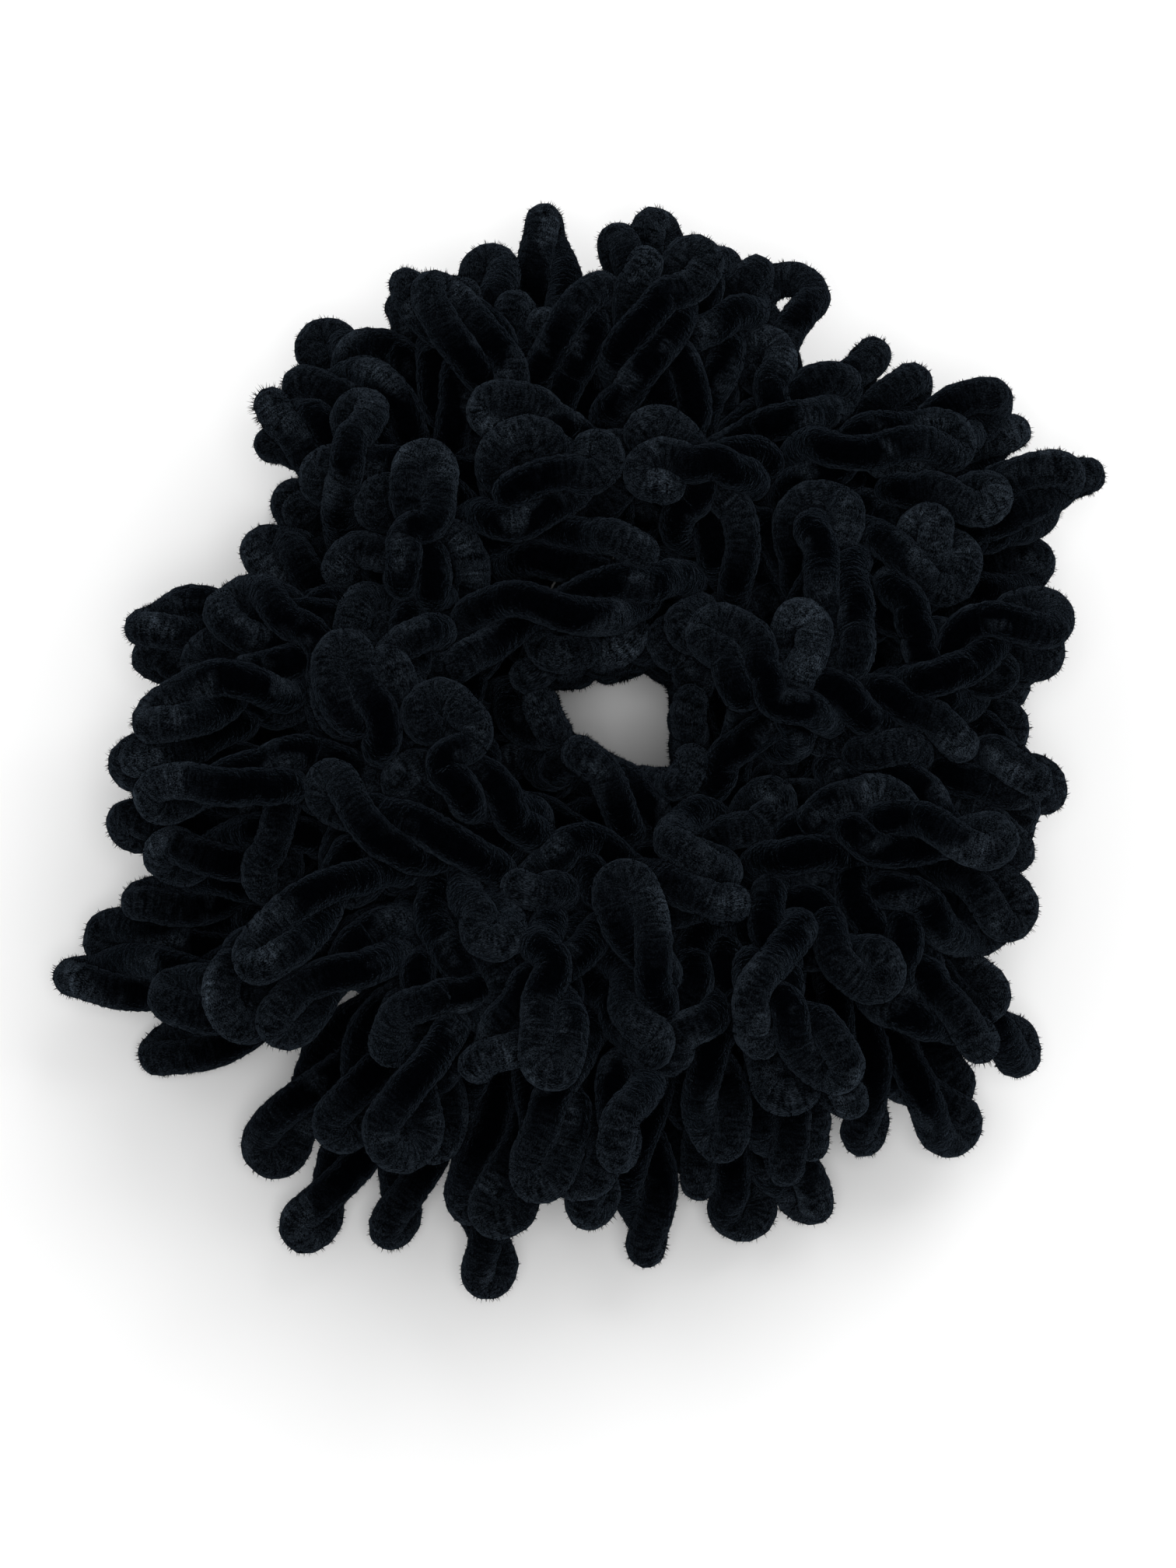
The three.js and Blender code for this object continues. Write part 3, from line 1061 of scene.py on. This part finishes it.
def elasticFinish():
    finish = Finish("braided_elastic", specular=0.2, sheen=0.2, sheenRoughness=0.4)
    yarns = finish.noise(finish.attribute("lay"), 60.0, 3)
    finish.set(
        color=finish.blend(yarns, elastic["color"], elastic["lit"]),
        roughness=0.65 + 0.3 * yarns,
        normal=finish.bump(yarns, 0.1 * mm),
    )
    return finish.material


def makeElastic():
    finish = elasticFinish()
    hidden = (thread["length"] / 2 - elastic["intoBinding"]) / ringRadius
    made = []
    for k, start in enumerate(ringAngles[:-1]):
        piece = joined("elastic_arc_" + labels[k], [braid(start + hidden, start + stepAngle - hidden)])
        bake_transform(piece)
        made.append(piece)
    last = ringAngles[-1]
    middleOfGap = last + stepAngle / 2
    tongue, _ = arcLine(middleOfGap - 0.05, middleOfGap + elastic["tongueReach"] / ringRadius)
    ends = [
        ("elastic_end_" + labels[-1], bunchNames[-1],
         [braid(last + hidden, middleOfGap), tubeAlong(tongue, elastic["tongue"], 16)]),
        ("elastic_end_" + labels[0], bunchNames[0], [braid(middleOfGap + 0.01, last + stepAngle - hidden)]),
    ]  # fmt: skip
    for name, body, pieces in ends:
        piece = joined(name, pieces)
        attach(piece, body)
        made.append(piece)
    for piece in made:
        piece.data.materials.append(finish)
    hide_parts("elastic_ring")
    return middleOfGap


ferrule = {
    "length": 8,
    "wall": 3.05,
    "lip": 0.35,
    "sides": 48,
    "crimps": (-1.7, 1.7),  # mm from its middle
    "crimpDepth": 0.42,
    "color": (0.42, 0.43, 0.45),
    "worn": (0.62, 0.63, 0.65),
}


def makeFerrule(angle):
    out = np.array([math.cos(angle), math.sin(angle), 0])
    along = np.cross([0, 0, 1], out)
    middle = ringMiddle + out * ringRadius
    half = ferrule["length"] / 2
    place = np.linspace(-half, half, 81)
    line = middle + place[:, None] * along
    edge = np.clip((half - np.abs(place)) / ferrule["lip"], 0, 1)
    dents = sum(np.exp(-(((place - c) / 0.55) ** 2)) for c in ferrule["crimps"]) * ferrule["crimpDepth"]
    radius = ferrule["wall"] - ferrule["lip"] * (1 - np.sqrt(1 - (1 - edge) ** 2)) - dents
    piece = joined("crimped_ferrule", [tubeAlong(line, radius[:, None], ferrule["sides"])])
    finish = Finish("plated_steel", metallic=1.0, specular=0.5)
    brushed = finish.noise(finish.stretched(finish.attribute("lay"), (60.0, 1.5, 1.5)), 3.0, 3)
    finish.set(
        color=finish.blend(brushed, ferrule["color"], ferrule["worn"]),
        roughness=0.24 + 0.2 * brushed,
        normal=finish.bump(brushed, 0.02 * mm),
    )
    piece.data.materials.append(finish.material)
    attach(piece, bunchNames[0])
    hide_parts("elastic_ferrule")


makeFerrule(makeElastic())
print("elastic and ferrule made")

# ---- floor and lights

studio = {
    "floor": (0.9, 0.9, 0.9),
    "sky": 0.72,
    "lamps": {  # place in metres, size in metres, watts
        "key": ((0.42, 0.5, 0.9), 0.8, 4.6),
        "fill": ((0.02, -0.4, 1.15), 0.4, 5.0),
    },
}


def makeStage():
    bpy.ops.mesh.primitive_plane_add(size=6)
    floor = bpy.context.object
    floor.name = "floor"
    paper = Finish("floor_white", color=studio["floor"], roughness=0.9, specular=0.1)
    floor.data.materials.append(paper.material)
    world = bpy.data.worlds.new("studio")
    bpy.context.scene.world = world
    world.use_nodes = True
    world.node_tree.nodes["Background"].inputs["Color"].default_value = (1, 1, 1, 1)
    world.node_tree.nodes["Background"].inputs["Strength"].default_value = studio["sky"]
    for name, (place, size, watts) in studio["lamps"].items():
        light = bpy.data.lights.new(name, "AREA")
        light.shape = "DISK"
        light.size = size
        light.energy = watts
        lamp = bpy.data.objects.new(name, light)
        bpy.context.collection.objects.link(lamp)
        lamp.location = place
        lamp.rotation_mode = "QUATERNION"
        lamp.rotation_quaternion = (-lamp.location).to_track_quat("-Z", "Y")


makeStage()
bpy.context.scene.view_settings.view_transform = "Standard"
print("stage set")
